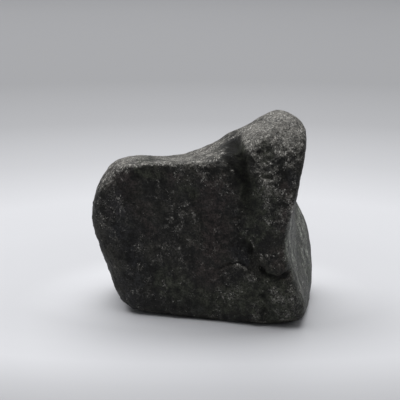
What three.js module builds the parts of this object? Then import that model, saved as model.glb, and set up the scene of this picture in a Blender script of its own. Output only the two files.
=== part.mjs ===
// Water-worn boulder of dark jadeite, one natural stone in one solid.
// Millimetres, +Z up. +X is to the right of the broad front face, which looks towards -Y.
// The stone is a radius for every direction from an inner centre. Directions are given as an
// azimuth in degrees from +X towards +Y and an elevation in degrees above the horizontal.

import * as THREE from 'three';
import { mergeVertices } from 'three/addons/utils/BufferGeometryUtils.js';

// Where the inner centre stands over the middle of the footprint
const CENTRE = new THREE.Vector3(-0.65, -2.55, 41.5);

// Worn faces: [azimuth, elevation, distance from the centre]. Every face shaves the stone.
const SIDES = [
  [-106, 0, 31], // broad front
  [76, 6, 49], // back
  [104, -24, 52], // back, lower left
  [52, 24, 58], // back, upper right
  [138, 3, 57], // corner between left end and back
  [38, -6, 65], // corner between right end and back
  [180, 16, 62], // left end
  [184, -20, 55.1], // left end, undercut
  [200, -76, 49.5], // underside, lifted at the left
  [0, -90, 42.5], // underside
  [80, -50, 58], // undercut of the back
  [-54, -40, 65], // foot of the front right edge
];

// The broad block, up to its flat top
const BLOCK = [
  [-14, 2, 54], // right side
  [0, 27, 51.3], // right shoulder
  [0, 52, 48], // right shoulder, steeper part
  [186, 42, 60], // upper left corner
  [85, 83, 38.5], // flat top, falling a little to the back
  [84, 45, 51], // edge between top and back
];

// The horn that rises over the right end of the block
const HORN = [
  [181, 56, 32.9], // left flank, down to the saddle
  [-2, -13, 41], // right flank, overhanging
  [20, 68, 75.5], // crown
  [-8, 33, 79], // crown, right side
  [-104, 12, 37], // front of the horn, leaning back
  [-96, 46, 58.5], // front of the crown
  [88, 34, 42], // back slope
];

// How tightly faces meet: a higher number gives a sharper edge
const BLOCK_SHARPNESS = 16;
const HORN_SHARPNESS = 20;
// Width of the fillet where the horn grows out of the block
const SADDLE_FILLET = 9;

// Broad swells and hollows: [azimuth, elevation, half width in degrees, height]
const SWELLS = [
  [-46, 2, 17, -3], // waist of the front right edge
  [-35, -31, 14, 6], // foot of the front right edge
  [-12, 2, 20, -2.5], // scoop of the right side
  [15, -22, 22, 1], // lobe behind the scoop
  [-10, -34, 16, 3], // foot of the lobe
  [112, 12, 24, -2.5], // hollow of the back
  [60, -12, 20, 1.5], // swell of the back
  [150, 50, 20, -1.5], // hollow behind the upper left corner
];

// Marks on the front, drawn as lines in x and z from the centre. Each has its half width and
// its height at the start and at the end of the line.
const MARKS = [
  { line: [[21, 38], [22.5, 20], [22, 4], [26, -8]], half: 5, heights: [-1.5, -1.2] }, // valley
  { line: [[32, 40], [33, 22], [33, 4]], half: 5, heights: [0, 1.2] }, // pillar under the horn
  {
    line: [[23, -2], [25.5, -11.5], [29.8, -18.5], [31.3, -37]], // groove in the foot
    half: 2.2,
    heights: [-0.6, -1.4],
  },
  { line: [[-33, 36], [-27, 37], [-19, 36.5]], half: 3, heights: [-1.4, -0.6] }, // chipped rim
  { line: [[-37, 42], [-33.5, 37], [-32.5, 28]], half: 2, heights: [-1, 0] }, // crease
  { line: [[5, -14], [12, -9.5], [20, -8]], half: 1.8, heights: [-0.2, -0.6] }, // crack
  { line: [[20, -11], [30, -18]], half: 3, heights: [0.4, 0.9] }, // low ridge under the crack
  { line: [[20, -27], [29, -30]], half: 4, heights: [0.4, 0.9] }, // bump of the foot
  { line: [[-30, 6], [-18, -14]], half: 8, heights: [-0.9, -0.5] }, // shallow hollow
  { line: [[-44, -6], [-36, -26]], half: 7, heights: [0.5, 0.9] }, // swell at the lower left
  { line: [[0, 26], [2, -2]], half: 7, heights: [0.4, 0.7] }, // swell in the middle
  { line: [[40, 46], [43, 30]], half: 3.5, heights: [0, -1.2] }, // hollow by the right rim
  { line: [[45, -14], [50, -34]], half: 6.5, heights: [0.5, 3.5] }, // flare of the right foot
];

// Notch between the horn and the saddle, a mark that runs farther back than the others
const NOTCH = { line: [[13, 55], [17, 49], [20, 41], [22, 30]], half: 4, heights: [-4, -0.5] };

// Overhanging ledge low on the pillar: raised above its line and sunk below it
const LEDGE = {
  line: [[30.5, -9.5], [33.5, -12.3], [37.5, -13.2], [43, -10.5]],
  step: 1.5, // half height of the step between the two
  aboveHalf: 8,
  aboveHeight: 1.2,
  belowHalf: 5,
  belowHeight: -2,
  fadeIn: 4,
  fadeOut: 4,
};

// Marks fade out behind the front: distance from the centre towards the front at which they
// start, and at which they have their full depth
const FRONT_AZIMUTH = SIDES[0][0];
const FRONT_FADE = [14, 26];
const NOTCH_FADE = [-6, 12];

// Gentle unevenness of the whole surface: bent waves, each shorter and lower than the last
const WAVE_COUNT = 6;
const WAVE_LENGTH = 60;
const WAVE_SHORTENING = 0.8;
const WAVE_HEIGHT = 0.5;
const WAVE_LOWERING = 0.75;
const WAVE_BEND = 1;

// Relief is raised at right angles to this inner box, in x, y and z from the centre
const CORE = new THREE.Box3(new THREE.Vector3(-34, -8, -20), new THREE.Vector3(24, 22, 18));
// Relief fades out over this height above the resting face
const FLOOR_FADE = 3;

// The surface starts as the even squares of a box, turned to the broad front, and each corner is
// moved along its line from the centre. Size, squares and middle in x, y and z.
const BOX_SIZE = [112, 78, 98];
const BOX_SQUARES = [34, 24, 29];
const BOX_MIDDLE = [0, 9, 5];

function direction(azimuth, elevation) {
  const a = THREE.MathUtils.degToRad(azimuth);
  const e = THREE.MathUtils.degToRad(elevation);
  return new THREE.Vector3(Math.cos(e) * Math.cos(a), Math.cos(e) * Math.sin(a), Math.sin(e));
}

// Sum over the faces of (how far the direction leans on the face / its distance) ^ sharpness
function pushOf(faces, dir, sharpness) {
  let sum = 0;
  for (const [azimuth, elevation, distance] of faces) {
    const lean = Math.max(dir.dot(direction(azimuth, elevation)), 0);
    sum += (lean / distance) ** sharpness;
  }
  return sum;
}

// The larger of two lengths, with a fillet where they are nearly equal
function filletedMax(a, b, width) {
  const overlap = Math.max(width - Math.abs(a - b), 0) / width;
  return Math.max(a, b) + (overlap * overlap * width) / 4;
}

// Eased step from 0 to 1
function ease(t) {
  const s = THREE.MathUtils.clamp(t, 0, 1);
  return s * s * (3 - 2 * s);
}

function radiusOfFaces(dir) {
  const farAway = 300;
  const block = Math.min(pushOf(BLOCK, dir, BLOCK_SHARPNESS) ** (-1 / BLOCK_SHARPNESS), farAway);
  const horn = Math.min(pushOf(HORN, dir, HORN_SHARPNESS) ** (-1 / HORN_SHARPNESS), farAway);
  const upper = filletedMax(block, horn, SADDLE_FILLET);
  const push = pushOf(SIDES, dir, BLOCK_SHARPNESS) + upper ** -BLOCK_SHARPNESS;
  return push ** (-1 / BLOCK_SHARPNESS);
}

function swellAt(dir) {
  let height = 0;
  for (const [azimuth, elevation, halfWidth, amount] of SWELLS) {
    const squaredGap = 2 * (1 - dir.dot(direction(azimuth, elevation)));
    const width = THREE.MathUtils.degToRad(halfWidth);
    height += amount * Math.exp(-squaredGap / (width * width));
  }
  return height;
}

// The nearest place on a line of points in x and z: its squared distance, how far along the line
// it is from 0 to 1, and whether the point is above the line
function nearestOnLine(line, x, z) {
  const parts = line.length - 1;
  let nearest = { squared: Infinity, along: 0, above: false };
  for (let i = 0; i < parts; i += 1) {
    const [ax, az] = line[i];
    const ex = line[i + 1][0] - ax;
    const ez = line[i + 1][1] - az;
    const reach = ((x - ax) * ex + (z - az) * ez) / (ex * ex + ez * ez);
    const t = THREE.MathUtils.clamp(reach, 0, 1);
    const dx = x - ax - t * ex;
    const dz = z - az - t * ez;
    const squared = dx * dx + dz * dz;
    if (squared < nearest.squared) {
      nearest = { squared, along: (i + t) / parts, above: ex * dz - ez * dx > 0 };
    }
  }
  return nearest;
}

function ledgeAt(x, z) {
  const { squared, above } = nearestOnLine(LEDGE.line, x, z);
  const distance = Math.sqrt(squared) * (above ? 1 : -1);
  const raised = ease(0.5 + (0.5 * distance) / LEDGE.step);
  const up = LEDGE.aboveHeight * Math.exp(-squared / LEDGE.aboveHalf ** 2);
  const down = LEDGE.belowHeight * Math.exp(-squared / LEDGE.belowHalf ** 2);
  const left = LEDGE.line[0][0];
  const right = LEDGE.line[LEDGE.line.length - 1][0];
  const fadeIn = ease((x - left) / LEDGE.fadeIn + 1);
  const fadeOut = ease((right - x) / LEDGE.fadeOut + 0.5);
  return fadeIn * fadeOut * (raised * up + (1 - raised) * down);
}

// Bell-shaped ridge or groove along a mark's line
function markAt({ line, half, heights }, x, z) {
  const { squared, along } = nearestOnLine(line, x, z);
  return THREE.MathUtils.lerp(heights[0], heights[1], along) * Math.exp(-squared / (half * half));
}

function marksAt(point) {
  const forward = point.dot(direction(FRONT_AZIMUTH, 0));
  const shown = ([start, full]) => ease((forward - start) / (full - start));
  let height = ledgeAt(point.x, point.z);
  for (const mark of MARKS) height += markAt(mark, point.x, point.z);
  return height * shown(FRONT_FADE) + markAt(NOTCH, point.x, point.z) * shown(NOTCH_FADE);
}

// Phase of wave i at a point: its directions turn by the golden angle from one to the next
function wavePhase(i, point) {
  const z = 1 - 2 * ((i * 0.618 + 0.31) % 1);
  const turn = 2.39996 * i;
  const flat = Math.sqrt(1 - z * z);
  const along = flat * Math.cos(turn) * point.x + flat * Math.sin(turn) * point.y + z * point.z;
  return (2 * Math.PI * along) / (WAVE_LENGTH * WAVE_SHORTENING ** i) + 1.7 * i;
}

function unevennessAt(point) {
  let height = 0;
  for (let i = 0; i < WAVE_COUNT; i += 1) {
    const bend = WAVE_BEND * Math.sin(0.7 * wavePhase(i + 1, point));
    height += WAVE_HEIGHT * WAVE_LOWERING ** i * Math.sin(wavePhase(i, point) + bend);
  }
  return height;
}

// One point of the surface, from the inner centre in the given direction
function surfacePoint(dir) {
  const point = dir.clone().multiplyScalar(radiusOfFaces(dir) + swellAt(dir));
  if (point.z < -CENTRE.z) point.multiplyScalar(-CENTRE.z / point.z);
  const overFloor = ease((point.z + CENTRE.z) / FLOOR_FADE);
  const relief = (marksAt(point) + unevennessAt(point)) * overFloor;
  const outward = point.clone().sub(CORE.clampPoint(point, new THREE.Vector3())).normalize();
  point.addScaledVector(outward, relief);
  point.z = Math.max(point.z, -CENTRE.z);
  return point.add(CENTRE);
}

function makeBoulder() {
  const box = new THREE.BoxGeometry(...BOX_SIZE, ...BOX_SQUARES);
  box.rotateZ(THREE.MathUtils.degToRad(FRONT_AZIMUTH + 90));
  box.translate(...BOX_MIDDLE);
  box.deleteAttribute('normal');
  box.deleteAttribute('uv');
  const geometry = mergeVertices(box);
  const position = geometry.getAttribute('position');
  const dir = new THREE.Vector3();
  for (let i = 0; i < position.count; i += 1) {
    dir.fromBufferAttribute(position, i).normalize();
    position.setXYZ(i, ...surfacePoint(dir).toArray());
  }
  geometry.computeVertexNormals();
  return geometry;
}

const jadeite = new THREE.MeshStandardMaterial({
  color: 0x3a3b38,
  roughness: 0.6,
  metalness: 0,
});

const stone = new THREE.Group();
const boulder = new THREE.Mesh(makeBoulder(), jadeite);
boulder.name = 'boulder';
stone.add(boulder);

export default stone;
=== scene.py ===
"""Water-worn boulder of dark jadeite, one natural stone on a plain studio floor.

The stone is worked out in millimetres from its inner centre and made a mesh in metres. A
direction is an azimuth in degrees from +X towards +Y and an elevation in degrees.
"""

import math

import bpy
import numpy as np
from bpy.props import (
    FloatProperty,
    FloatVectorProperty,
    PointerProperty,
)
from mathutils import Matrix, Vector


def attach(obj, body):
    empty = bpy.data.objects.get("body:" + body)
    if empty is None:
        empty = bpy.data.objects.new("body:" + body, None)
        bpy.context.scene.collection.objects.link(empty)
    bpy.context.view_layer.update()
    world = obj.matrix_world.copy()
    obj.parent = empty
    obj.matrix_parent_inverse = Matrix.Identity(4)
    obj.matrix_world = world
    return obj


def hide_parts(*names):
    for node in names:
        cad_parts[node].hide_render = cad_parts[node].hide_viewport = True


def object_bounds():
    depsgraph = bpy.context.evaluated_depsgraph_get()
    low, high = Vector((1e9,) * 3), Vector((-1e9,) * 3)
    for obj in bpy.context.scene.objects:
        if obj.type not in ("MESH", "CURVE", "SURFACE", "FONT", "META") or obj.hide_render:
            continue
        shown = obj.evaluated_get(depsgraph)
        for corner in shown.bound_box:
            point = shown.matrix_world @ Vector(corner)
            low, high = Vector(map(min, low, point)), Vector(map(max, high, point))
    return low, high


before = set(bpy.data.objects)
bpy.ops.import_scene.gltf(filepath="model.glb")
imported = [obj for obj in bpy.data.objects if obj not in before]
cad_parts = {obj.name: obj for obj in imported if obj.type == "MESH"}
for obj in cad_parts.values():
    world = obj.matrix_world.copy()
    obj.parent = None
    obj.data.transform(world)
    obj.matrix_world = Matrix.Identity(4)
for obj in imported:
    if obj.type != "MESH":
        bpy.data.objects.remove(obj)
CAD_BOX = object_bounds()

bl_info = {
    "name": "Jadeite boulder",
    "version": (1, 0, 0),
    "blender": (4, 5, 0),
    "location": "3D View > Sidebar > Boulder",
    "description": "Makes a water-worn jadeite boulder and a studio floor to show it on",
    "category": "Add Mesh",
}

MM = 0.001
CENTRE = (-0.65, -2.55, 41.5)

# Worn faces: azimuth, elevation, distance from the centre
SIDES = (
    (-106, 0, 31),  # broad front
    (76, 6, 49),  # back
    (104, -24, 52),  # back, lower left
    (52, 24, 58),  # back, upper right
    (138, 3, 57),  # corner between left end and back
    (38, -6, 65),  # corner between right end and back
    (180, 16, 62),  # left end
    (184, -20, 55.1),  # left end, undercut
    (200, -76, 49.5),  # underside, lifted at the left
    (0, -90, 42.5),  # underside
    (80, -50, 58),  # undercut of the back
    (-54, -40, 65),  # foot of the front right edge
)
BLOCK = (
    (-14, 2, 54),  # right side
    (0, 27, 51.3),  # right shoulder
    (0, 52, 48),  # right shoulder, steeper part
    (186, 42, 60),  # upper left corner
    (85, 83, 38.5),  # flat top, falling a little to the back
    (84, 45, 51),  # edge between top and back
)
HORN = (
    (181, 56, 32.9),  # left flank, down to the saddle
    (-2, -13, 41),  # right flank, overhanging
    (20, 68, 75.5),  # crown
    (-8, 33, 79),  # crown, right side
    (-104, 12, 37),  # front of the horn, leaning back
    (-96, 46, 58.5),  # front of the crown
    (88, 34, 42),  # back slope
)
BLOCK_SHARPNESS = 16
HORN_SHARPNESS = 20
SADDLE_FILLET = 9

# Broad swells and hollows: azimuth, elevation, half width in degrees, height
SWELLS = (
    (-46, 2, 17, -3),  # waist of the front right edge
    (-35, -31, 14, 6),  # foot of the front right edge
    (-12, 2, 20, -2.5),  # scoop of the right side
    (15, -22, 22, 1),  # lobe behind the scoop
    (-10, -34, 16, 3),  # foot of the lobe
    (112, 12, 24, -2.5),  # hollow of the back
    (60, -12, 20, 1.5),  # swell of the back
    (150, 50, 20, -1.5),  # hollow behind the upper left corner
)

# Marks on the front: a line in x and z, its half width, and its height at the start and end
MARKS = (
    (((21, 38), (22.5, 20), (22, 4), (26, -8)), 5, -1.5, -1.2),  # valley
    (((32, 40), (33, 22), (33, 4)), 5, 0, 1.2),  # pillar under the horn
    (((23, -2), (25.5, -11.5), (29.8, -18.5), (31.3, -37)), 2.2, -0.6, -1.4),  # groove in the foot
    (((-33, 36), (-27, 37), (-19, 36.5)), 3, -1.4, -0.6),  # chipped rim
    (((-37, 42), (-33.5, 37), (-32.5, 28)), 2, -1, 0),  # crease
    (((5, -14), (12, -9.5), (20, -8)), 1.8, -0.2, -0.6),  # crack
    (((20, -11), (30, -18)), 3, 0.4, 0.9),  # low ridge under the crack
    (((20, -27), (29, -30)), 4, 0.4, 0.9),  # bump of the foot
    (((-30, 6), (-18, -14)), 8, -0.9, -0.5),  # shallow hollow
    (((-44, -6), (-36, -26)), 7, 0.5, 0.9),  # swell at the lower left
    (((0, 26), (2, -2)), 7, 0.4, 0.7),  # swell in the middle
    (((40, 46), (43, 30)), 3.5, 0, -1.2),  # hollow by the right rim
    (((45, -14), (50, -34)), 6.5, 0.5, 3.5),  # flare of the foot at the right edge
)
# Notch between horn and saddle: drawn as the marks are, and it runs farther back
NOTCH = (((13, 55), (17, 49), (20, 41), (22, 30)), 4, -4, -0.5)
NOTCH_FADE = (-6, 12)

LEDGE_LINE = ((30.5, -9.5), (33.5, -12.3), (37.5, -13.2), (43, -10.5))
LEDGE_STEP = 1.5
LEDGE_ABOVE = (8, 1.2)  # half width and height of the rise over the line
LEDGE_BELOW = (5, -2)  # half width and height of the hollow under it
LEDGE_FADES = (4, 4)

FRONT_AZIMUTH = SIDES[0][0]
RIGHT_AZIMUTH = -12
FRONT_FADE = (14, 26)
TINT_FADE = (-8, 12)
FLOOR_FADE = 3
WAVE_COUNT = 6
WAVE_LENGTH = 60
WAVE_SHORTENING = 0.8
WAVE_HEIGHT = 0.5
WAVE_LOWERING = 0.75
CORE = ((-34, -8, -20), (24, 22, 18))

BOX_SIZE = (112, 78, 98)
BOX_MIDDLE = (0, 9, 5)

# Fine lines on the front, as the marks are given
FINE_MARKS = (
    (((-0.8, 14.5), (-0.5, 10), (-0.9, 6.2)), 0.8, -0.5, -0.3),  # upright crack in the middle
    (((-4.8, 28.5), (-4.6, 25), (-5, 22.5)), 0.9, -0.3, -0.4),  # upright crease under the rim
    (((18.9, 23), (18.2, 16), (18.3, 9), (17.8, 0.5)), 0.9, -0.2, -0.4),  # line beside the valley
    (((11.5, 14.4), (15, 15.6), (18.8, 15.4)), 0.8, -0.3, -0.5),  # cross crack
    (((14.8, 11.4), (17.8, 10.9)), 0.8, -0.4, -0.5),  # short crack under it
    (((5, -13.8), (9, -11.6), (12, -9.4), (18.5, -8.3), (21, -9)), 0.8, -0.4, -0.5),  # step
    (((21, -9.5), (25, -12.4), (30, -16.8)), 0.9, -0.5, -0.2),  # line over the low ridge
    (((24.1, 1.2), (24.7, -1), (24.2, -3.8)), 1, -0.4, -0.6),  # pit in the valley
    (((27.4, -5.2), (28.2, -6.6)), 0.9, -0.5, -0.4),  # small pit under it
    (((29, -10), (33, -12.8), (37.5, -13.8), (39.5, -13.2)), 0.9, -0.6, 0),  # under the ledge
    (((41, -15.5), (44, -14.5)), 2.2, 0.7, 0.9),  # end of the hollow under the ledge
    (((29.6, 37), (33.8, 36.2)), 1, -0.5, -0.6),  # fold under the horn
    (((24.2, 52), (25.6, 45), (28, 42.6)), 0.9, 0.45, 0.3),  # thin rib on the horn
    (((40.6, 53.5), (43.4, 49.6)), 0.9, 0.3, 0.4),  # upper rib by the right rim
    (((42.6, 45), (40.4, 40.4)), 0.9, 0.35, 0.3),  # lower rib by the right rim
    (((31.6, 34.5), (32.2, 24), (31.8, 13)), 1, 0.3, 0.25),  # thin rib down the pillar
    (((-41.5, -20), (-37.5, -21), (-34, -23.6)), 0.9, -0.4, -0.4),  # curved crack, lower left
    (((-40.6, -22.2), (-36.6, -23.6), (-33.2, -26)), 0.9, 0.35, 0.25),  # lip under it
    (((-31.7, -27), (-31.3, -29)), 0.9, -0.5, -0.5),  # nick at the lower left
    (((31.5, -19.4), (31.3, -22.5), (31.6, -36)), 0.9, -0.2, -0.2),  # line in the foot's groove
)
# Crease down the middle of the notch, given as the notch is
NOTCH_CREASE = (((15.5, 51), (18, 47), (20.5, 42), (22, 34)), 1.8, -1.3, -0.6)
# The same seen from above: lines in x and y
TOP_MARKS = (
    (((-36.8, 1), (-35, -8), (-33.2, -15), (-33, -24)), 1, -0.5, -0.6),  # crease over the rim
    (((-31, -2), (-32, -9), (-33.2, -15)), 1, -0.4, -0.6),  # its right arm
)
# Rings on the front: x, z, radius, half width of the ring, its height, height of the middle
RINGS = (
    (30.6, -22.4, 2, 0.8, -0.5, 0.2),  # ring pit in the foot
    (23.3, 54, 1.7, 0.7, -0.35, 0.35),  # small knob on the horn
    (23.3, 51.6, 0, 0.9, -0.8, 0),  # dot under the knob
    (41.6, -27.6, 0, 0.9, -0.5, 0),  # dot low on the right
)

# Rounding of the foot: height over the floor, and how far the rim goes in as a share of its
# distance from the middle
FOOT_ROUNDING = (4, 0.085)

# Painted light on the floor: a pool of light under and close round the stone, a ring of painted
# shadow just outside it, and painted light falloff farther off. Each stop: distance from the
# stone's middle in metres, share of the floor's colour
FLOOR_PAINTED_LIGHT = (
    (0.06, 1.12),
    (0.1, 0.93),
    (0.14, 0.94),
    (0.17, 0.96),
    (0.24, 0.975),
    (0.37, 0.775),
    (0.56, 0.57),
    (0.85, 0.46),
    (1.9, 0.5),
)

# Soft lights: place and width in metres, and the points that the lights and the camera face
KEY_LIGHT = ((-0.45, 0.9, 2.95), 4.25)
SIDE_LIGHT = ((1.2, 0.6, 0.7), 0.8)
LIGHT_AIM = (0, 0, 0.05)
CAMERA_AIM = (-0.00226, 0.00109, 0.05612)

# Random unevenness: size and height of each kind
ROLLS = ((14, 0.2), (7, 0.12), (3.6, 0.11), (2.1, 0.08))
ROLL_WAVES = 28
ROLL_SCALE = 5.3  # about the root of the number of waves
SCOOPS = ((9, 0.6), (4.6, 0.3))
SCOOP_SHARPNESS = 14
SCOOP_MEAN = 0.25

# Rounds of evening that give a corner's surroundings, about four squares to each side
SURROUNDINGS = 24
# Size and height of the waves that bend the drawn places
DRAWN_BEND = (8, 1.1)

# Frosting on the front: a line in x and z, its half width, and its amount at the start and end
FROST_MARKS = (
    (((24.2, 52), (25.6, 45), (28, 42.6)), 1, 0.35, 0.35),  # rib on the horn
    (((24, 56.5), (30, 58.7), (36, 59), (43.5, 56.5)), 2.6, 0.3, 0.35),  # brow of the crown
    (((29, 54), (38, 56)), 5, 0.12, 0.12),  # crown
    (((40.6, 53.5), (43.4, 49.6)), 1.2, 0.3, 0.3),  # upper rib by the right rim
    (((42.6, 45), (40.4, 40.4)), 1.2, 0.35, 0.25),  # lower rib by the right rim
    (((-14, 37), (-7, 36.5), (3, 36.5), (10, 38.5)), 3, 0.25, 0.25),  # under the rim
    (((31.6, 34.5), (32.2, 24), (33, 13)), 1.6, 0.25, 0.3),  # streak down the pillar
    (((34.5, 34), (36, 24), (36, 11)), 5, 0.34, 0.38),  # pillar
    (((43.6, 33), (44, 18)), 3, 0.3, 0.3),  # right rim of the pillar
    (((-51, 6), (-46, 2)), 5, 0.3, 0.2),  # left edge
    (((-46, 37), (-42, 27), (-45, 18)), 8, 0.08, 0.1),  # upper left corner
    (((-50, 21), (-43, 15)), 6, 0.22, 0.16),  # under that corner
    (((-27, 30), (-24, 28)), 4, 0.1, 0.1),  # right of that corner
    (((-17, 25), (-12, 15)), 6.5, 0.24, 0.22),  # middle, upper part
    (((-16, 10), (-13, -12)), 6.5, 0.2, 0.17),  # middle, lower part
    (((-30, -1), (-27.5, -5)), 3, 0.26, 0.26),  # patches left of the middle
    (((-26, -9), (-23, -10.5)), 1.5, 0.35, 0.35),
    (((-20, -4), (-18, -12)), 3.4, 0.18, 0.14),
    (((-27.5, -29), (-26.5, -34)), 2.2, 0.2, 0.25),  # patches low on the left
    (((-17, -27), (-15, -33)), 3.4, 0.16, 0.16),
    (((0, -20), (18, -22)), 8, 0.16, 0.16),  # low in the middle
    (((37, -24), (41, -34)), 7, 0.28, 0.38),  # foot
    (((27, 4), (29, -2)), 3, 0.14, 0.16),  # beside the valley
    (((33, 0), (36, -4)), 5, 0.2, 0.18),  # under the pillar
    (((16, 53), (17, 47), (20.5, 36), (21.5, 26)), 3.4, -0.75, -0.3),  # bare notch
    (((9, 41), (13, 47)), 4, -0.35, -0.3),  # bare saddle beside it
    (((-31, 36.5), (-18, 35.5)), 3, -0.5, -0.3),  # bare chip
    (((-38, 27), (-33, 25)), 5, -0.12, -0.12),  # bare patch right of the upper left corner
    (((33, -10), (40, -9)), 4, -0.3, -0.3),  # bare ledge
)

# Painted shade on the front, in the notch, down the valley and under the ledge, as the frosting is
# given
PAINTED_SHADE_MARKS = (
    (((10.5, 53), (14, 48.5), (17.5, 43.5), (20.8, 35), (22.5, 24)), 4.6, 1.6, 0.5),  # notch
    (((22, 22), (22.5, 8), (24.5, -6)), 4, 0.1, 0.15),  # valley
    (((30.5, -12), (34, -15)), 1.8, 0.5, 0.2),  # under the ledge
)
# Pale streaks on the right side: the same in y and z
PALE_MARKS = (
    (((-24, 20), (-8, 10), (8, 4)), 11, 0.3, 0.35),  # under the horn
    (((-38, 16), (-35, 10), (-31, -3), (-33, -13), (-34, -24)), 2, 0.75, 0.4),  # front edge
    (((12, 4), (8, -4), (5, -9), (3, -17)), 2.4, 0.9, 0.6),  # streak near the right end
    (((2, 2), (-3, -12), (-8, -24)), 2.6, 0.25, 0.35),  # streak in the middle
)

# Patches of colour on the front: the same, for brown, green and blue
BROWN_MARKS = (
    (((4, 30), (6, 4), (2, -18)), 10, 0.6, 0.55),
    (((26, 56), (36, 57)), 3, 0.5, 0.5),
    (((-46, 36), (-40, 26), (-44, 16)), 9, 0.6, 0.5),
    (((41, 33), (43, 22), (41, 12)), 4, 0.5, 0.5),
    (((38, -3), (41, -13)), 5, 0.4, 0.5),
    (((-30, 14), (-28, 4)), 6, 0.35, 0.4),
    (((-26, 35), (-14, 35)), 3, 0.1, 0.5),
)
GREEN_MARKS = (
    (((-32, 37), (-22, 35.5)), 3.2, 0.8, 0.5),
    (((-8, 29), (-5, 27)), 4, 0.6, 0.6),
    (((19, 48), (22, 30)), 4, 0.5, 0.5),
    (((25, 28), (24, 0)), 5, 0.7, 0.6),
    (((33, 34), (34, 10)), 5, 0.5, 0.5),
    (((36, -20), (40, -36)), 8, 1, 1),
    (((-20, -20), (0, -32), (24, -26)), 9, 0.5, 0.9),
    (((-44, 9), (-38, 8)), 3, 0.6, 0.5),
    (((31, 52), (32, 47)), 4, 0.5, 0.5),
)
BLUE_MARKS = (
    (((-44, 20), (-43, 4), (-34, -12), (-36, -30)), 8, 0.6, 0.5),
    (((17, -2), (21, -4)), 4, 0.8, 0.8),
    (((-8, -32), (0, -36)), 5, 0.4, 0.4),
    (((44, 40), (45, 34)), 3, 0.5, 0.5),
)


def direction(azimuth, elevation):
    """Unit vector of an azimuth and an elevation in degrees."""
    a = math.radians(azimuth)
    e = math.radians(elevation)
    return np.array([math.cos(e) * math.cos(a), math.cos(e) * math.sin(a), math.sin(e)])


def ease(t):
    """Eased step from 0 to 1: three t squared less two t cubed, with t held from 0 to 1."""
    s = np.clip(t, 0, 1)
    return s * s * (3 - 2 * s)


def unit(vectors):
    """Each row divided by its own length."""
    return vectors / np.maximum(np.linalg.norm(vectors, axis=1), 1e-12)[:, None]


def push_of(faces, dirs, sharpness):
    """Sum over the faces of (lean of the direction on the face over its distance) ^ sharpness."""
    total = np.zeros(len(dirs))
    for azimuth, elevation, distance in faces:
        lean = np.maximum(dirs @ direction(azimuth, elevation), 0)
        total += (lean / distance) ** sharpness
    return total


def radius_of(faces, dirs, sharpness):
    """Radius of worn faces on their own: the push to the power of minus one over the sharpness."""
    return np.minimum(np.maximum(push_of(faces, dirs, sharpness), 1e-60) ** (-1 / sharpness), 300)


def radius_of_faces(dirs):
    """Radius of the whole form: the farther of block and horn, filleted, shaved by the sides."""
    block = radius_of(BLOCK, dirs, BLOCK_SHARPNESS)
    horn = radius_of(HORN, dirs, HORN_SHARPNESS)
    overlap = np.maximum(SADDLE_FILLET - abs(block - horn), 0) / SADDLE_FILLET
    upper = np.maximum(block, horn) + overlap**2 * SADDLE_FILLET / 4
    push = push_of(SIDES, dirs, BLOCK_SHARPNESS) + upper ** -float(BLOCK_SHARPNESS)
    return push ** (-1 / BLOCK_SHARPNESS)


def swell_at(dirs):
    """Sum of bell-shaped heights, each by the gap between the direction and the swell's own."""
    height = np.zeros(len(dirs))
    for azimuth, elevation, half_width, amount in SWELLS:
        squared_gap = 2 * (1 - dirs @ direction(azimuth, elevation))
        height += amount * np.exp(-squared_gap / math.radians(half_width) ** 2)
    return height


def nearest_on_line(line, x, z):
    """Nearest place on a bent line: squared distance, share of the line passed, and side.

    Each straight part gives the foot of the perpendicular, held to its ends, and the part with
    the least distance counts. The side is true above a line that runs to the right.
    """
    squared = np.full(x.shape, np.inf)
    along = np.zeros(x.shape)
    above = np.zeros(x.shape, bool)
    parts = len(line) - 1
    for i in range(parts):
        ax, az = line[i]
        ex = line[i + 1][0] - ax
        ez = line[i + 1][1] - az
        t = np.clip(((x - ax) * ex + (z - az) * ez) / (ex * ex + ez * ez), 0, 1)
        dx = x - ax - t * ex
        dz = z - az - t * ez
        gap = dx * dx + dz * dz
        nearer = gap < squared
        squared = np.where(nearer, gap, squared)
        along = np.where(nearer, (i + t) / parts, along)
        above = np.where(nearer, ex * dz - ez * dx > 0, above)
    return squared, along, above


def sum_of_marks(marks, x, z):
    """Sum of bell-shaped ridges along bent lines, each going evenly from one height to another."""
    height = np.zeros(x.shape)
    for line, half, start, end in marks:
        squared, along, _ = nearest_on_line(line, x, z)
        height += (start + (end - start) * along) * np.exp(-squared / half**2)
    return height


def ledge_at(x, z):
    """Ledge: a rise over its line and a dip under it, joined by a short eased step."""
    squared, _, above = nearest_on_line(LEDGE_LINE, x, z)
    distance = np.sqrt(squared) * np.where(above, 1, -1)
    raised = ease(0.5 + 0.5 * distance / LEDGE_STEP)
    up = LEDGE_ABOVE[1] * np.exp(-squared / LEDGE_ABOVE[0] ** 2)
    down = LEDGE_BELOW[1] * np.exp(-squared / LEDGE_BELOW[0] ** 2)
    fade_in = ease((x - LEDGE_LINE[0][0]) / LEDGE_FADES[0] + 1)
    fade_out = ease((LEDGE_LINE[-1][0] - x) / LEDGE_FADES[1] + 0.5)
    return fade_in * fade_out * (raised * up + (1 - raised) * down)


def front_share(points, fade=FRONT_FADE):
    """1 on the broad front, easing to 0 behind it, by the distance forward of the centre."""
    start, full = fade
    return ease((points @ direction(FRONT_AZIMUTH, 0) - start) / (full - start))


def wave_phase(i, points):
    """Phase of wave i: its directions turn by the golden angle, and each is shorter."""
    z = 1 - 2 * ((i * 0.618 + 0.31) % 1)
    turn = 2.39996 * i
    flat = math.sqrt(1 - z * z)
    lean = np.array([flat * math.cos(turn), flat * math.sin(turn), z])
    return points @ lean * 2 * math.pi / (WAVE_LENGTH * WAVE_SHORTENING**i) + 1.7 * i


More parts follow.
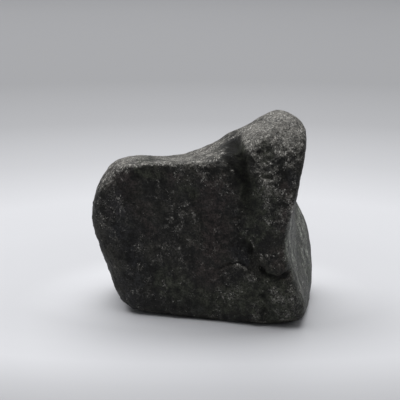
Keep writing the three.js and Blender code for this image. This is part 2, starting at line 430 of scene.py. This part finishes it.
def unevenness_at(points):
    """Sum of sine waves, each bent by the sine of the next one's phase."""
    height = np.zeros(len(points))
    for i in range(WAVE_COUNT):
        bend = np.sin(0.7 * wave_phase(i + 1, points))
        height += WAVE_HEIGHT * WAVE_LOWERING**i * np.sin(wave_phase(i, points) + bend)
    return height


def main_form(dirs):
    """Surface points for directions: radius, flat underside, then marks and waves.

    Points below the resting face are drawn back onto it along their own line from the centre.
    The relief goes outwards from an inner box and fades out just above the resting face.
    """
    floor = -CENTRE[2]
    points = dirs * (radius_of_faces(dirs) + swell_at(dirs))[:, None]
    points *= np.where(points[:, 2] < floor, floor / np.minimum(points[:, 2], -1e-9), 1)[:, None]
    marks = sum_of_marks(MARKS, points[:, 0], points[:, 2]) + ledge_at(points[:, 0], points[:, 2])
    notch = sum_of_marks((NOTCH,), points[:, 0], points[:, 2]) * front_share(points, NOTCH_FADE)
    relief = marks * front_share(points) + notch + unevenness_at(points)
    relief *= ease((points[:, 2] - floor) / FLOOR_FADE)
    points += unit(points - np.clip(points, CORE[0], CORE[1])) * relief[:, None]
    points[:, 2] = np.maximum(points[:, 2], floor)
    return points


def box_grid(square):
    """Directions and faces of an even grid on the six sides of a box turned to the broad front.

    A corner's number is its place in the box's lattice, so corners that sides share are one.
    Each side is the lattice in two parameters, with the third held at one of its ends.
    """
    counts = np.round(np.array(BOX_SIZE) / square).astype(int)
    strides = np.array([(counts[1] + 1) * (counts[2] + 1), counts[2] + 1, 1])
    squares = []
    for axis in range(3):
        u = (axis + 1) % 3
        v = (axis + 2) % 3
        along_u = np.arange(counts[u] + 1)[:, None] * strides[u]
        along_v = np.arange(counts[v] + 1)[None, :] * strides[v]
        for end in (0, 1):
            ids = along_u + along_v + end * counts[axis] * strides[axis]
            loop = [ids[:-1, :-1], ids[1:, :-1], ids[1:, 1:], ids[:-1, 1:]]
            side = np.stack(loop if end else loop[::-1], axis=-1)
            squares.append(side.reshape(-1, 4))
    numbers, faces = np.unique(np.concatenate(squares), return_inverse=True)
    place = np.stack([numbers // strides[0], numbers // strides[1] % (counts[1] + 1)], axis=1)
    place = np.column_stack([place, numbers % (counts[2] + 1)])
    corners = (place / counts - 0.5) * BOX_SIZE
    turn = math.radians(FRONT_AZIMUTH + 90)
    x = corners[:, 0] * math.cos(turn) - corners[:, 1] * math.sin(turn)
    y = corners[:, 0] * math.sin(turn) + corners[:, 1] * math.cos(turn)
    corners = np.column_stack([x, y, corners[:, 2]]) + BOX_MIDDLE
    return unit(corners), faces.reshape(-1, 4)


def corner_sums(values, faces, count):
    """Sum of a value of each square at each of its corners."""
    index = faces.ravel()
    columns = [np.bincount(index, np.repeat(column, 4), count) for column in values.T]
    return np.stack(columns, axis=1)


def normals_of(points, faces):
    """Unit normal at each corner: the sum of its squares' normals, from their diagonals."""
    a, b, c, d = (points[faces[:, i]] for i in range(4))
    return unit(corner_sums(np.cross(c - a, d - b), faces, len(points)))


def evened(values, faces, rounds):
    """Values spread over their neighbours: each corner takes the mean of its squares, again
    and again."""
    spread = values
    ones = np.bincount(faces.ravel(), minlength=len(values))[:, None]
    for _ in range(rounds):
        spread = corner_sums(spread[faces].mean(axis=1), faces, len(values)) / ones
    return spread


def rolling(points, size, seed):
    """Random smooth heights: a sum of even waves about one size long, in random directions."""
    rng = np.random.default_rng(seed)
    leans = unit(rng.normal(size=(ROLL_WAVES, 3)))
    lengths = size * rng.uniform(0.7, 1.5, ROLL_WAVES)
    phases = rng.uniform(0, 2 * math.pi, ROLL_WAVES)
    return np.sin(points @ (leans.T * 2 * math.pi / lengths) + phases).sum(axis=1) / ROLL_SCALE


def scattered(cells, seed):
    """Random place from 0 to 1 in x, y and z for each cell, mixed from the cell's own numbers."""
    mixed = cells @ np.array([73856093, 19349663, 83492791]) + seed * 26544357
    places = []
    for factor in (2246822519, 3266489917, 668265263):
        word = (mixed ^ (mixed >> 15)) * factor & 0xFFFFFFFF
        word = (word ^ (word >> 13)) * 1274126177 & 0xFFFFFFFF
        places.append((word ^ (word >> 16)) / 2**32)
    return np.stack(places, axis=-1)


def scoops(points, size, seed):
    """Shallow scoops that meet in soft ridges, from 0 to about 1.

    Each cube of space holds one random centre. The height is the squared distance to the nearest
    centre, with a soft minimum, over the squared size of a cube.
    """
    places = points / size
    cells = np.floor(places).astype(np.int64)
    total = np.zeros(len(points))
    steps = np.array(np.meshgrid((-1, 0, 1), (-1, 0, 1), (-1, 0, 1))).reshape(3, -1).T
    for step in steps:
        centre = cells + step + scattered(cells + step, seed)
        total += np.exp(-SCOOP_SHARPNESS * ((places - centre) ** 2).sum(axis=1))
    return -np.log(total + 1e-9) / SCOOP_SHARPNESS


def rings_at(x, z):
    """Rings: a bell-shaped band at each ring's radius, and a bell in its middle."""
    height = np.zeros(x.shape)
    for cx, cz, radius, half, band, middle in RINGS:
        distance = np.hypot(x - cx, z - cz)
        height += band * np.exp(-(((distance - radius) / half) ** 2))
        height += middle * np.exp(-((distance / max(radius * 0.7, 0.1)) ** 2))
    return height


def right_side_share(points, normals):
    """1 on the scooped right side, easing to 0 around it, by how far the surface faces right.

    It also eases off towards the horn and, by half, towards the floor.
    """
    facing = normals @ direction(RIGHT_AZIMUTH, 0)
    height = points[:, 2] + 5 * rolling(points, 24, 54)
    fade = ease((24 - height) / 24) * (0.5 + 0.5 * ease((height + 34) / 26))
    return ease((facing - 0.5) / 0.35) * fade


def fine_relief(points, normals):
    """Heights that are too fine for the main form: cracks, rings, scoops and random unevenness."""
    x, y, z = points.T
    front = front_share(points)
    top = ease((normals[:, 2] - 0.1) / 0.4)
    drawn = (sum_of_marks(FINE_MARKS, x, z) + rings_at(x, z)) * front
    drawn += sum_of_marks((NOTCH_CREASE,), x, z) * front_share(points, NOTCH_FADE)
    drawn += sum_of_marks(TOP_MARKS, x, y) * top
    rough = np.zeros(len(points))
    for i, (size, height) in enumerate(ROLLS):
        rough += height * rolling(points, size, 11 + i)
    for i, (size, height) in enumerate(SCOOPS):
        rough += height * (scoops(points, size, 31 + i) - SCOOP_MEAN)
    rough *= (1 - 0.45 * right_side_share(points, normals)) * (0.5 + 0.5 * front)
    return drawn, rough


def foot_tuck(height):
    """How far the foot's rim goes in, as a share: a quarter of a circle under a given height."""
    low = np.clip(1 - height / FOOT_ROUNDING[0], 0, 1)
    return FOOT_ROUNDING[1] * (1 - np.sqrt(1 - low * low))


def fit_in_box(points, box):
    """Points drawn in evenly along each axis until they lie in the box, standing on its floor."""
    low = points.min(axis=0)
    high = points.max(axis=0)
    goal_low = np.maximum(low, np.array(box[0]) + 1e-6)
    goal_high = np.minimum(high, np.array(box[1]) - 1e-6)
    goal_low[2] = box[0][2]
    return goal_low + (points - low) * (goal_high - goal_low) / (high - low)


def stone_surface(shape):
    """Points in metres, faces, and what the finish needs to know at each corner."""
    dirs, faces = box_grid(shape.square / MM)
    points = main_form(dirs)
    normals = normals_of(points, faces)
    drawn, rough = fine_relief(points, normals)
    over_floor = ease((points[:, 2] + CENTRE[2]) / FLOOR_FADE)
    relief = (drawn * shape.cracks + rough * shape.roughness) * over_floor
    points = points + normals * relief[:, None]
    points[:, 2] = np.maximum(points[:, 2], -CENTRE[2])
    points[:, :2] *= (1 - foot_tuck(points[:, 2] + CENTRE[2]))[:, None]
    normals = normals_of(points, faces)
    hints = finish_hints(points, normals, faces)
    placed = fit_in_box((points + CENTRE) * MM, CAD_BOX)
    return placed, faces, hints


def finish_hints(points, normals, faces):
    """Amounts from 0 to 1 at each corner: frosting with painted top light, painted shade, side,
    pale, brown, green, blue.

    Hollows and edges are how far the corner lies under or over its evened surroundings. The
    painted shade darkens hollows, cracks, and the notch, valley and ledge marks of the front,
    where shade falls. Frosting gathers on edges and on the drawn places of the front, and where
    the surface faces up it is raised as painted light from above. The right side's paleness is
    partly painted light from the right. The drawn places are bent by smooth random waves, so that
    their borders wander.
    """
    bend_size, bend = DRAWN_BEND
    x = points[:, 0] + bend * rolling(points, bend_size, 71)
    y = points[:, 1]
    z = points[:, 2] + bend * rolling(points, bend_size, 72)
    front = front_share(points, TINT_FADE)
    proud = ((points - evened(points, faces, SURROUNDINGS)) * normals).sum(axis=1)
    proud = evened(proud[:, None], faces, 1)[:, 0]
    # Painted shade: darker in hollows, along the cracks, and at the notch, valley and ledge marks
    cracks = 0.8 * np.maximum(-sum_of_marks(FINE_MARKS, points[:, 0], points[:, 2]), 0)
    painted_shade = 0.7 * ease((-proud - 0.1) / 0.8) + (sum_of_marks(PAINTED_SHADE_MARKS, x, z) + cracks) * front
    edge = ease((proud - 0.05) / 0.5)
    facing_up = ease((normals[:, 2] - 0.05) / 0.8)
    cloud = rolling(points, 16, 51) * 0.6 + rolling(points, 6, 52) * 0.4
    # Painted light: frost is raised where the surface faces up, standing in for light from above
    frost_and_painted_top_light = 0.19 + 0.61 * facing_up + 0.2 * edge - 0.3 * painted_shade + 0.1 * cloud
    frost_and_painted_top_light += sum_of_marks(FROST_MARKS, x, z) * front
    patch = rolling(points, 30, 61)
    other = 0.6 * (1 - front)
    brown = sum_of_marks(BROWN_MARKS, x, z) * front + ease(patch - 0.2) * other
    green = sum_of_marks(GREEN_MARKS, x, z) * front + ease(-patch - 0.2) * other
    blue = sum_of_marks(BLUE_MARKS, x, z) * front + ease(rolling(points, 26, 62) - 0.4) * other
    # Partly painted light: the right side is paler where it faces right, less under the horn and
    # near the floor
    side = right_side_share(points, normals)
    facing = ease((normals @ direction(RIGHT_AZIMUTH, 0) - 0.3) / 0.4)
    pale = sum_of_marks(PALE_MARKS, y, z) * facing * (1 + 0.5 * rolling(points, 5, 53))
    hints = {"frost_and_painted_top_light": frost_and_painted_top_light * (1 - 0.3 * side), "painted_shade": painted_shade, "side": side, "pale": pale}
    hints.update(brown=brown, green=green, blue=blue)
    return {name: np.clip(values, 0, 1).astype(np.float32) for name, values in hints.items()}


def mesh_object(name, points, faces):
    """Smooth-shaded mesh object at the origin from arrays of points and faces of four corners."""
    mesh = bpy.data.meshes.new(name)
    mesh.vertices.add(len(points))
    mesh.vertices.foreach_set("co", points.astype(np.float32).ravel())
    mesh.loops.add(faces.size)
    mesh.loops.foreach_set("vertex_index", faces.astype(np.int32).ravel())
    mesh.polygons.add(len(faces))
    starts = np.arange(0, faces.size, faces.shape[1], dtype=np.int32)
    mesh.polygons.foreach_set("loop_start", starts)
    mesh.polygons.foreach_set("use_smooth", np.ones(len(faces), bool))
    mesh.update(calc_edges=True)
    mesh.validate()
    piece = bpy.data.objects.new(name, mesh)
    bpy.context.scene.collection.objects.link(piece)
    return piece


class Nodes:
    """Short ways to add nodes to a material and join them."""

    def __init__(self, material):
        self.tree = material.node_tree
        self.shader = self.tree.nodes["Principled BSDF"]

    def add(self, kind, inputs=(), **settings):
        """New node of a kind, with its settings and its inputs, each a value or a socket."""
        node = self.tree.nodes.new(kind)
        for name, value in settings.items():
            setattr(node, name, value)
        for key, value in dict(inputs).items():
            self.put(node.inputs[key], value)
        return node

    def put(self, socket, value):
        """Joins a socket to another one, or sets its value."""
        if isinstance(value, bpy.types.NodeSocket):
            self.tree.links.new(value, socket)
        else:
            socket.default_value = value

    def maths(self, operation, a, b=0.0, clamp=False):
        """Result of one operation on two numbers or sockets."""
        inputs = {0: a, 1: b}
        return self.add("ShaderNodeMath", inputs, operation=operation, use_clamp=clamp).outputs[0]

    def noise(self, place, size, detail=2.0, roughness=0.5, distortion=0.0):
        """Noise from 0 to 1 with features about one size wide, in metres."""
        inputs = {"Vector": place, "Scale": 1 / size, "Detail": detail, "Roughness": roughness}
        inputs["Distortion"] = distortion
        return self.add("ShaderNodeTexNoise", inputs).outputs["Fac"]

    def step(self, value, low, high, to_low=0.0, to_high=1.0):
        """Smooth step of a value between two limits."""
        inputs = {"Value": value, "From Min": low, "From Max": high}
        inputs.update({"To Min": to_low, "To Max": to_high})
        node = self.add("ShaderNodeMapRange", inputs, interpolation_type="SMOOTHSTEP")
        return node.outputs["Result"]

    def blend(self, share, a, b, kind="MIX"):
        """Colour between two colours by a share from 0 to 1."""
        node = self.add("ShaderNodeMix", data_type="RGBA", blend_type=kind, clamp_factor=True)
        self.put(node.inputs[0], share)
        self.put(node.inputs[6], a)
        self.put(node.inputs[7], b)
        return node.outputs[2]

    def hint(self, name):
        """Amount stored at the mesh's corners under a name."""
        return self.add("ShaderNodeAttribute", attribute_name=name).outputs["Fac"]


def stone_material(finish):
    """Dark jadeite: mottled body, patches of colour, a paler right side that is partly painted
    light, painted shade in hollows, and a frosting of fine specks that also paints the light on
    the top.
    """
    material = bpy.data.materials.new("jadeite")
    material.use_nodes = True
    n = Nodes(material)
    place = n.add("ShaderNodeTexCoord").outputs["Object"]
    deep = n.add("ShaderNodeMapping", {"Vector": place, "Scale": (1, 0.7, 1)}).outputs[0]
    middling = n.noise(place, 0.0035, 3, 0.6)
    veil = veil_amount(n, deep)
    grain = grain_amount(n, deep, veil)
    specks = speck_share(n, deep, veil)
    colour = side_colour_and_light(n, finish, place, body_colour(n, finish, place, middling))
    colour = n.blend(1.0, colour, shade_colour(n, middling, grain), "MULTIPLY")
    colour = frosted_colour(n, finish, colour, middling, grain, veil, specks)
    rough = n.step(middling, 0.3, 0.7, 0.46, 0.66)
    rough = n.maths("ADD", rough, n.maths("MULTIPLY", specks, 0.15))
    rough = n.maths("ADD", rough, n.maths("MULTIPLY", n.hint("painted_shade"), 0.4), clamp=True)
    n.put(n.shader.inputs["Base Color"], colour)
    n.put(n.shader.inputs["Roughness"], rough)
    n.put(n.shader.inputs["IOR"], 1.5)
    n.put(n.shader.inputs["Specular IOR Level"], finish.gloss)
    n.put(n.shader.inputs["Normal"], stone_bump(n, place))
    return material


def veil_amount(n, place):
    """Amount of frosting and painted top light at each point: the stored amount, gathered into
    clumps by a noise.
    """
    clump = n.maths("SUBTRACT", n.noise(place, 0.0045, 3, 0.62, 0.8), 0.5)
    clump = n.maths("MULTIPLY", clump, n.step(n.hint("frost_and_painted_top_light"), 0.3, 0.6, 2.3, 1.7))
    return n.maths("ADD", n.hint("frost_and_painted_top_light"), clump)


def grain_amount(n, place, veil):
    """Fine light and dark grain from -1 to 1, weaker where the stone is bare."""
    grain = n.step(n.noise(place, 0.0009, 2, 0.6), 0.34, 0.66, -1, 1)
    cluster = n.step(veil, 0.2, 0.8)
    lively = n.maths("MAXIMUM", cluster, n.maths("MULTIPLY", n.hint("side"), 0.4))
    return n.maths("MULTIPLY", grain, n.step(lively, 0, 1, 0.45, 0.9))


def frosted_colour(n, finish, colour, middling, grain, veil, specks):
    """The colour under a pale grained veil and white specks.

    Where the frosting is thickest the veil is stronger and mottled, and the specks stand out less.
    Where the surface faces up, veil and specks are partly painted light from above.
    """
    veiled = n.maths("ADD", n.maths("MULTIPLY", grain, 0.8), 1)
    veiled = n.maths("MULTIPLY", veiled, n.step(veil, 0.35, 1.1, 0, finish.veil_strength))
    thick = n.step(n.hint("frost_and_painted_top_light"), 0.55, 0.95)
    mottle = n.maths("MULTIPLY", thick, n.step(middling, 0.35, 0.65, -0.1, 0.75))
    veiled = n.maths("MULTIPLY", veiled, n.maths("ADD", mottle, 1), clamp=True)
    colour = n.blend(veiled, colour, finish.veil)
    strength = n.step(thick, 0, 1, finish.frost_strength, 0.75 * finish.frost_strength)
    return n.blend(n.maths("MULTIPLY", specks, strength), colour, finish.frost_and_painted_top_light)


def body_colour(n, finish, place, middling):
    """Clouds of the dark and the body colour, with wandering patches of brown, green and blue."""
    colour = n.blend(n.step(n.noise(place, 0.011, 3), 0.38, 0.64), finish.dark, finish.body)
    wander = n.maths("MULTIPLY", n.maths("SUBTRACT", middling, 0.5), 1.4)
    for name, tint in (("brown", finish.brown), ("green", finish.green), ("blue", finish.blue)):
        amount = n.maths("ADD", n.hint(name), wander)
        colour = n.blend(n.step(amount, 0.12, 0.7, 0, 0.75), colour, tint)
    return colour


def side_colour_and_light(n, finish, place, colour):
    """Paler grey green on the right side, partly painted light from the right, with upright
    streaks and the drawn pale places.
    """
    colour = n.blend(n.step(n.hint("side"), 0, 1, 0, 0.8), colour, finish.side)
    upright = n.add("ShaderNodeMapping", {"Vector": place, "Scale": (1, 1, 0.35)}).outputs[0]
    streaks = n.step(n.noise(upright, 0.004, 4, 0.7), 0.46, 0.66, 0, 0.6)
    streaks = n.maths("MULTIPLY", streaks, n.hint("side"))
    drawn = n.maths("MULTIPLY", n.hint("pale"), 0.85)
    return n.blend(n.maths("ADD", streaks, drawn, clamp=True), colour, finish.streak)


def shade_colour(n, middling, grain):
    """Grey that the colour is multiplied by: mottled, grained, and darker in hollows as painted
    shade.
    """
    shade = n.maths("MULTIPLY", n.maths("ADD", grain, 1), n.step(middling, 0.34, 0.66, 0.45, 1.55))
    # Painted shade: darker in hollows, cracks, the notch, the valley and under the ledge
    shade = n.maths("MULTIPLY", shade, n.step(n.hint("painted_shade"), 0, 1, 1, 0.3))
    return n.add("ShaderNodeCombineColor", {0: shade, 1: shade, 2: shade}).outputs[0]


def speck_share(n, place, veil):
    """Frosting from 0 to 1: fine noise over a limit that falls as the veil of frost rises.

    A second noise makes some specks bright and leaves others faint, and a coarser one over a
    higher limit adds patches where the frost is thickest. Faint broken threads lie where a last
    noise is near its middle value.
    """
    over = n.maths("SUBTRACT", n.noise(place, 0.0007, 2, 0.6), n.step(veil, 0, 1, 0.74, 0.48))
    fine = n.maths("MULTIPLY", over, 8, clamp=True)
    fine = n.maths("MULTIPLY", fine, n.step(veil, 0.1, 1, 0.55, 1))
    fine = n.maths("MULTIPLY", fine, n.step(n.noise(place, 0.0017, 2), 0.36, 0.66, 0.1, 1))
    over = n.maths("SUBTRACT", n.noise(place, 0.0024, 4, 0.7), n.step(veil, 0.4, 1.2, 0.72, 0.54))
    coarse = n.maths("MULTIPLY", n.maths("MULTIPLY", over, 7, clamp=True), 0.7)
    wander = n.maths("ABSOLUTE", n.maths("SUBTRACT", n.noise(place, 0.006, 4, 0.62, 0.6), 0.5))
    thread = n.maths("MULTIPLY", n.step(wander, 0, 0.022, 1, 0), n.step(veil, 0, 0.7, 0, 0.17))
    thread = n.maths("MULTIPLY", thread, n.step(n.noise(place, 0.0012, 2), 0.4, 0.6))
    return n.maths("MAXIMUM", n.maths("MAXIMUM", fine, coarse), thread)


def stone_bump(n, place):
    """Normal of two fine noises, the coarser one first."""
    pores = n.noise(place, 0.0016, 3, 0.65)
    first = n.add("ShaderNodeBump", {"Strength": 0.8, "Distance": 0.0008, "Height": pores})
    grit = n.noise(place, 0.0007, 2, 0.6)
    inputs = {"Strength": 0.6, "Distance": 0.0003, "Height": grit, "Normal": first.outputs[0]}
    return n.add("ShaderNodeBump", inputs).outputs[0]


def floor_material(stage):
    """Pale floor with painted light: a pool of light round the stone, a ring of painted shadow
    just outside it, and painted light falloff farther off, sooner in front of the stone.
    """
    material = bpy.data.materials.new("studio floor")
    material.use_nodes = True
    n = Nodes(material)
    place = n.add("ShaderNodeTexCoord").outputs["Object"]
    distance = n.add("ShaderNodeVectorMath", {0: place}, operation="LENGTH").outputs["Value"]
    # Painted shade in front of the stone: the floor greys sooner there
    forward = n.maths("MINIMUM", n.add("ShaderNodeSeparateXYZ", {0: place}).outputs["Y"], 0)
    forward = n.maths("MULTIPLY", n.maths("MULTIPLY", forward, forward), stage.front_painted_shade)
    distance = n.maths("ADD", distance, forward)
    farthest = FLOOR_PAINTED_LIGHT[-1][0]
    ramp = n.add("ShaderNodeValToRGB", {0: n.maths("DIVIDE", distance, farthest)})
    stops = ramp.color_ramp.elements
    while len(stops) < len(FLOOR_PAINTED_LIGHT):
        stops.new(0.5)
    for stop, (radius, share) in zip(stops, FLOOR_PAINTED_LIGHT):
        stop.position = radius / farthest
        stop.color = [part * share for part in stage.floor[:3]] + [1]
    n.put(n.shader.inputs["Base Color"], ramp.outputs[0])
    n.put(n.shader.inputs["Roughness"], 0.5)
    n.put(n.shader.inputs["Specular IOR Level"], 0.3)
    return material


class BoulderShape(bpy.types.PropertyGroup):
    """Fineness and relief of the stone's surface."""

    square: FloatProperty(
        name="Square",
        description="Width of the surface's squares",
        default=0.00075,
        min=0.0005,
        precision=5,
        unit="LENGTH",
        subtype="DISTANCE",
    )
    cracks: FloatProperty(
        name="Cracks",
        description="Depth of the cracks, creases and pits, as a share of the full depth",
        default=1,
        min=0,
        subtype="FACTOR",
    )
    roughness: FloatProperty(
        name="Unevenness",
        description="Height of the scoops and fine unevenness, as a share of the full height",
        default=1,
        min=0,
        subtype="FACTOR",
    )


def colour_property(name, description, red, green, blue):
    """Colour with an alpha of one."""
    return FloatVectorProperty(
        name=name,
        description=description,
        default=(red, green, blue, 1),
        size=4,
        min=0,
        max=1,
        subtype="COLOR",
    )


class BoulderFinish(bpy.types.PropertyGroup):
    """Colours of the jadeite and of its frosting."""

    body: colour_property("Body", "Olive charcoal of most of the stone", 0.0265, 0.0258, 0.0215)
    dark: colour_property("Dark", "Darker clouds in the body", 0.0125, 0.0123, 0.0112)
    brown: colour_property("Brown", "Purplish brown patches", 0.033, 0.0255, 0.0240)
    green: colour_property("Green", "Greenish patches", 0.0345, 0.0375, 0.0270)
    blue: colour_property("Blue", "Bluish patches", 0.0160, 0.0165, 0.0185)
    # The paler right side is partly painted light from the right
    side: colour_property("Right side", "Paler grey green of the right side", 0.052, 0.055, 0.046)
    # Specks of this colour are partly painted light: they are thickest where the surface faces up
    frost_and_painted_top_light: colour_property("Frost", "White frosting", 0.70, 0.68, 0.635)
    frost_strength: FloatProperty(
        name="Frost strength",
        description="Share of the frosting's colour in its specks",
        default=0.9,
        min=0,
        max=1,
        subtype="FACTOR",
    )
    # The veil is partly painted light too: it is strongest where the surface faces up
    veil: colour_property("Veil", "Pale veil under the frosting", 0.165, 0.158, 0.142)
    streak: colour_property("Streak", "Pale streaks on the right side", 0.26, 0.27, 0.24)
    veil_strength: FloatProperty(
        name="Veil strength",
        description="Share of the veil's colour where the frosting is thickest",
        default=0.5,
        min=0,
        max=1,
        subtype="FACTOR",
    )
    gloss: FloatProperty(
        name="Gloss",
        description="Strength of the surface's reflections",
        default=0.24,
        min=0,
        max=1,
        subtype="FACTOR",
    )


class StudioStage(bpy.types.PropertyGroup):
    """Floor, lights and camera."""

    floor: colour_property("Floor", "Floor near the stone", 0.706, 0.713, 0.743)
    # Painted shade: the floor greys sooner in front of the stone, standing in for its shadow and
    # light falloff
    front_painted_shade: FloatProperty(
        name="Front greying",
        description="How much sooner the floor goes grey in front of the stone",
        default=17,
        min=0,
    )
    floor_radius: FloatProperty(
        name="Floor radius",
        description="Radius of the round floor",
        default=8,
        unit="LENGTH",
        subtype="DISTANCE",
    )
    key_power: FloatProperty(
        name="Key light",
        description="Power of the overhead soft light",
        default=155,
        unit="POWER",
    )
    side_power: FloatProperty(
        name="Side light",
        description="Power of the weak light from the right",
        default=2,
        unit="POWER",
    )
    sky: FloatProperty(
        name="Room light",
        description="Even light of the room",
        default=0.16,
        min=0,
    )
    camera_distance: FloatProperty(
        name="Camera distance",
        description="From the camera to the point it looks at",
        default=0.62,
        unit="LENGTH",
        subtype="DISTANCE",
    )
    camera_elevation: FloatProperty(
        name="Camera elevation",
        description="Height of the camera's line of sight over the horizontal",
        default=math.radians(14),
        unit="ROTATION",
        subtype="ANGLE",
    )
    lens: FloatProperty(
        name="Lens",
        description="Focal length in millimetres on a sensor 36 mm wide",
        default=103.7,
        unit="CAMERA",
    )


class MakeBoulder(bpy.types.Operator):
    """Makes the stone over its CAD solid and gives it its finish"""

    bl_idname = "boulder.make_stone"
    bl_label = "Boulder"

    def execute(self, context):
        scene = context.scene
        points, faces, hints = stone_surface(scene.boulder_shape)
        stone = mesh_object("jadeite_stone", points, faces)
        for name, values in hints.items():
            attribute = stone.data.attributes.new(name, "FLOAT", "POINT")
            attribute.data.foreach_set("value", values)
        stone.data.materials.append(stone_material(scene.boulder_finish))
        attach(stone, "root")
        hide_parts("boulder")
        return {"FINISHED"}


def area_light(name, place_and_width, power):
    """Square area light that the camera doesn't see, turned to face the stone."""
    place, width = place_and_width
    data = bpy.data.lights.new(name, "AREA")
    data.shape = "SQUARE"
    data.size = width
    data.energy = power
    light = bpy.data.objects.new(name, data)
    light.location = place
    towards = Vector(LIGHT_AIM) - Vector(place)
    light.rotation_euler = towards.to_track_quat("-Z", "Y").to_euler()
    light.visible_camera = False
    bpy.context.scene.collection.objects.link(light)
    return light


def round_floor(radius):
    """Flat disc from the origin, a grid of rings and turns whose rings widen by even factors."""
    rings = radius * (np.arange(0, 13) / 12) ** 3
    turns = np.linspace(0, 2 * math.pi, 96, endpoint=False)
    x = rings[1:, None] * np.cos(turns)
    y = rings[1:, None] * np.sin(turns)
    points = np.column_stack([x.ravel(), y.ravel(), np.zeros(x.size)])
    ids = np.arange(x.size).reshape(x.shape)
    following = np.roll(ids, -1, axis=1)
    faces = np.stack([ids[:-1], ids[1:], following[1:], following[:-1]], axis=-1).reshape(-1, 4)
    return points, faces, ids[0]


class MakeStage(bpy.types.Operator):
    """Makes the pale floor, the soft lights, the room light and the camera"""

    bl_idname = "boulder.make_stage"
    bl_label = "Studio stage"

    def execute(self, context):
        scene = context.scene
        stage = scene.boulder_stage
        self.make_floor(stage)
        area_light("key light", KEY_LIGHT, stage.key_power)
        area_light("side light", SIDE_LIGHT, stage.side_power)
        self.make_room(scene, stage)
        self.make_camera(scene, stage)
        scene.view_settings.view_transform = "Standard"
        return {"FINISHED"}

    def make_floor(self, stage):
        """Disc with its middle closed by one face."""
        points, faces, inner = round_floor(stage.floor_radius)
        mesh = bpy.data.meshes.new("studio_floor")
        mesh.from_pydata(points.tolist(), [], faces.tolist() + [inner.tolist()])
        mesh.materials.append(floor_material(stage))
        floor = bpy.data.objects.new("studio_floor", mesh)
        bpy.context.scene.collection.objects.link(floor)

    def make_room(self, scene, stage):
        """Even grey light from all round."""
        world = bpy.data.worlds.new("room")
        world.use_nodes = True
        background = world.node_tree.nodes["Background"]
        background.inputs["Color"].default_value = (0.98, 0.99, 1, 1)
        background.inputs["Strength"].default_value = stage.sky
        scene.world = world

    def make_camera(self, scene, stage):
        """Camera at its distance and elevation from a point in the stone, facing it."""
        data = bpy.data.cameras.new("camera")
        data.lens = stage.lens
        data.sensor_width = 36
        camera = bpy.data.objects.new("camera", data)
        elevation = stage.camera_elevation
        away = Vector((0, -math.cos(elevation), math.sin(elevation)))
        camera.location = Vector(CAMERA_AIM) + away * stage.camera_distance
        camera.rotation_euler = (-away).to_track_quat("-Z", "Y").to_euler()
        scene.collection.objects.link(camera)
        scene.camera = camera


class BoulderPanel(bpy.types.Panel):
    """Sizes, colours and buttons for the stone and its stage"""

    bl_idname = "VIEW3D_PT_boulder"
    bl_label = "Jadeite boulder"
    bl_space_type = "VIEW_3D"
    bl_region_type = "UI"
    bl_category = "Boulder"

    def draw(self, context):
        scene = context.scene
        for group in (scene.boulder_shape, scene.boulder_finish, scene.boulder_stage):
            box = self.layout.box()
            for name in group.bl_rna.properties.keys():
                if name not in ("rna_type", "name"):
                    box.prop(group, name)
        self.layout.operator(MakeBoulder.bl_idname)
        self.layout.operator(MakeStage.bl_idname)


CLASSES = (BoulderShape, BoulderFinish, StudioStage, MakeBoulder, MakeStage, BoulderPanel)


def register():
    """Registers the classes and adds their settings to the scene."""
    for item in CLASSES:
        bpy.utils.register_class(item)
    bpy.types.Scene.boulder_shape = PointerProperty(type=BoulderShape)
    bpy.types.Scene.boulder_finish = PointerProperty(type=BoulderFinish)
    bpy.types.Scene.boulder_stage = PointerProperty(type=StudioStage)


def unregister():
    """Takes the settings off the scene and unregisters the classes."""
    del bpy.types.Scene.boulder_stage
    del bpy.types.Scene.boulder_finish
    del bpy.types.Scene.boulder_shape
    for item in reversed(CLASSES):
        bpy.utils.unregister_class(item)


def main():
    """Makes the stone and its stage."""
    register()
    bpy.ops.boulder.make_stone()
    bpy.ops.boulder.make_stage()


if __name__ == "__main__":
    main()
